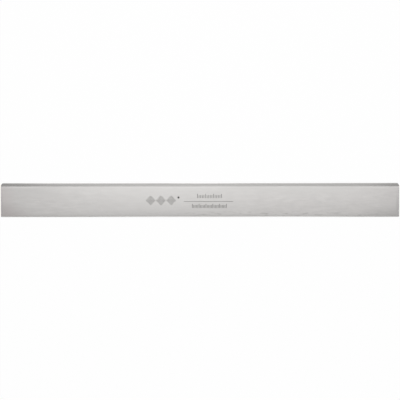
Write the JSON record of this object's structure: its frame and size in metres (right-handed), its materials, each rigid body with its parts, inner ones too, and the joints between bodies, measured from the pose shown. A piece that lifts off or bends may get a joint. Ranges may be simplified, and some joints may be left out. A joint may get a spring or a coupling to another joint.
{
  "type": "planer knife",
  "caption": "Long flat knife of ground tool steel for a thickness planer or jointer, with a bevel along its cutting edge, relieved tips and broken edges.",
  "frame": {"origin": "middle of the flat back face, which the knife lies on", "axes": "+X along the knife, +Y across it from the spine to the cutting edge, +Z out of the front face"},
  "size_m": [0.41, 0.035, 0.003],
  "materials": {
    "ground_steel": "surface-ground satin, with the grinding lines running along the knife"
  },
  "bodies": {
    "root": {"planer_knife": "ground_steel"}
  },
  "joints": []
}
